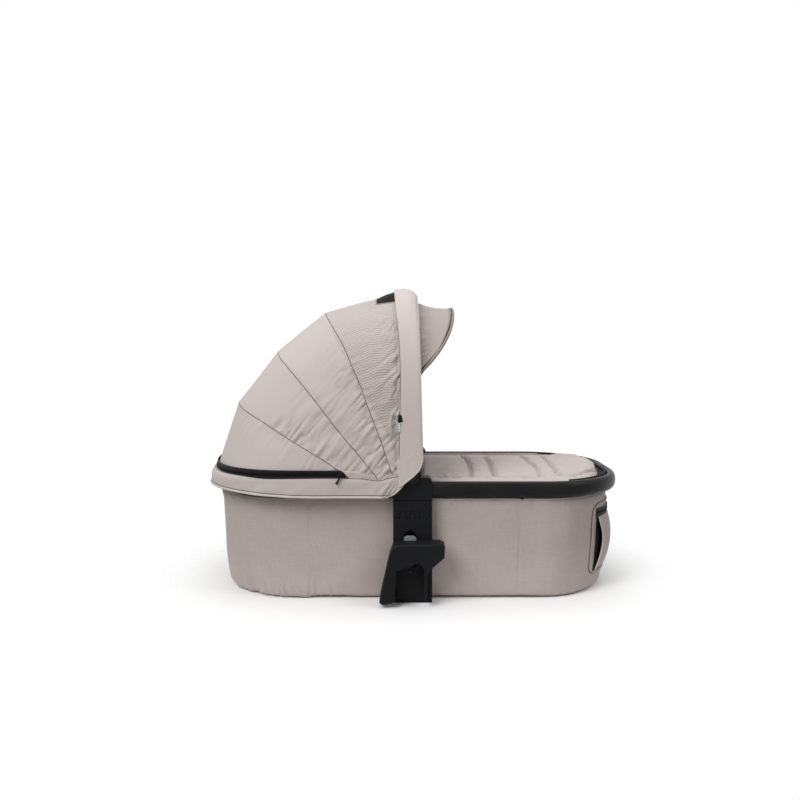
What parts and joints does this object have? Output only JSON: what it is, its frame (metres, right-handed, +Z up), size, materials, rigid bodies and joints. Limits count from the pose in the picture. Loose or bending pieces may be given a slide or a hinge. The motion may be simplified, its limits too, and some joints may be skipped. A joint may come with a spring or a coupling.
{
  "type": "carrycot",
  "caption": "Carrycot with an oval tube rim, fold-back fabric hood with flip visor, quilted apron, lined soft-sided body and side chassis adapters with release tabs.",
  "frame": {"origin": "on the floor under the middle of the cot, at the centre of the flat underside of the cross brace", "axes": "+X to the foot end, +Y to the right side as seen from the foot end, +Z up"},
  "size_m": [0.842, 0.5, 0.5966],
  "materials": {
    "hood_cloth": "taupe woven polyester",
    "basin_cloth": "taupe woven polyester, shaded side",
    "lining_cloth": "beige cotton lining",
    "foam_cloth": "soft mattress cover",
    "black_tube": "satin black powder coat",
    "black_plastic": "fine-grain black moulding",
    "grey_plastic": "fine-grain grey moulding",
    "black_zip": "coated zip tape",
    "steel": "plated steel",
    "board": "moulded base board",
    "black_grip": "matt black grip"
  },
  "bodies": {
    "cot": {"adapter_shroud_left": "black_plastic", "adapter_shroud_right": "black_plastic", "apron_foot": "hood_cloth", "base_tray": "board", "carrier_head_left": "black_plastic", "carrier_head_right": "black_plastic", "carrier_leg_left": "black_plastic", "carrier_leg_right": "black_plastic", "foot_foot_left": "black_grip", "foot_foot_right": "black_grip", "foot_pocket": "basin_cloth", "head_foot_left": "black_grip", "head_foot_right": "black_grip", "hood_gusset_left": "hood_cloth", "hood_gusset_right": "hood_cloth", "hood_pin_left": "steel", "hood_pin_right": "steel", "hood_skirt": "hood_cloth", "hub_housing_left": "black_plastic", "hub_housing_right": "black_plastic", "inner_liner": "lining_cloth", "latch_spring_left": "steel", "latch_spring_right": "steel", "mattress": "foam_cloth", "outer_cover": "basin_cloth", "pocket_zip": "black_zip", "rim_front": "black_tube", "rim_rear": "black_tube", "socket_screw_left": "steel", "socket_screw_right": "steel", "under_brace": "black_plastic", "zip_tape": "black_zip"},
    "hood_front": {"front_bow": "black_plastic", "handle_grip": "black_grip", "front_band_left": "hood_cloth", "front_band_right": "hood_cloth", "visor_rivet_left": "steel", "visor_rivet_right": "steel", "hood_panel_1": "hood_cloth"},
    "hood_bow_1": {"bow_1": "steel", "hood_panel_2": "hood_cloth"},
    "hood_bow_2": {"bow_2": "steel", "hood_panel_3": "hood_cloth"},
    "hood_bow_3": {"bow_3": "steel", "hood_panel_4": "hood_cloth"},
    "visor": {"visor_brim": "black_plastic", "visor_cloth": "hood_cloth"},
    "apron": {"apron_flap": "hood_cloth"},
    "tab_left": {"release_tab_left": "grey_plastic", "latch_bolt_left": "steel"},
    "tab_right": {"release_tab_right": "grey_plastic", "latch_bolt_right": "steel"},
    "button_left": {"hub_button_left": "grey_plastic"},
    "button_right": {"hub_button_right": "grey_plastic"},
    "zip_runner": {"zip_slider": "black_plastic"}
  },
  "joints": [
    {"name": "hood_fold", "type": "hinge", "parent": "cot", "child": "hood_front", "pos_m": [-0.012, 0, 0.238], "axis": [0, -1, 0], "range_deg": [0, 55.6], "deforming": ["hood_panel_1", "hood_panel_2", "hood_panel_3", "hood_panel_4"]},
    {"name": "bow_1_fold", "type": "hinge", "parent": "cot", "child": "hood_bow_1", "pos_m": [-0.012, 0, 0.238], "axis": [0, -1, 0], "range_deg": [0, 38.4]},
    {"name": "bow_2_fold", "type": "hinge", "parent": "cot", "child": "hood_bow_2", "pos_m": [-0.012, 0, 0.238], "axis": [0, -1, 0], "range_deg": [0, 23.6]},
    {"name": "bow_3_fold", "type": "hinge", "parent": "cot", "child": "hood_bow_3", "pos_m": [-0.012, 0, 0.238], "axis": [0, -1, 0], "range_deg": [0, 12.3]},
    {"name": "visor_flip", "type": "hinge", "parent": "hood_front", "child": "visor", "pos_m": [-0.0154, 0, 0.37796], "axis": [0, -1, 0], "range_deg": [0, 55], "deforming": ["visor_cloth"]},
    {"name": "apron_fold", "type": "hinge", "parent": "cot", "child": "apron", "pos_m": [0.262, 0, 0.2365], "axis": [0, 1, 0], "range_deg": [0, 110]},
    {"name": "tab_left_lift", "type": "slide", "parent": "cot", "child": "tab_left", "axis": [0, 0, 1], "range_m": [0, 0.008], "stiffness_N_per_m": 300, "springref_m": -0.01, "deforming": ["latch_spring_left"]},
    {"name": "tab_right_lift", "type": "slide", "parent": "cot", "child": "tab_right", "axis": [0, 0, 1], "range_m": [0, 0.008], "stiffness_N_per_m": 300, "springref_m": -0.01, "deforming": ["latch_spring_right"]},
    {"name": "button_left_press", "type": "slide", "parent": "cot", "child": "button_left", "axis": [0, -1, 0], "range_m": [0, 0.0035], "stiffness_N_per_m": 800, "springref_m": -0.002},
    {"name": "button_right_press", "type": "slide", "parent": "cot", "child": "button_right", "axis": [0, 1, 0], "range_m": [0, 0.0035], "stiffness_N_per_m": 800, "springref_m": -0.002},
    {"name": "zip_run", "type": "slide", "parent": "cot", "child": "zip_runner", "axis": [-1, 0, 0], "range_m": [0, 0.05]}
  ],
  "couplings": [
    {"joint": "bow_1_fold", "follows": "hood_fold", "ratio": 0.6885},
    {"joint": "bow_2_fold", "follows": "hood_fold", "ratio": 0.4233},
    {"joint": "bow_3_fold", "follows": "hood_fold", "ratio": 0.2201}
  ]
}
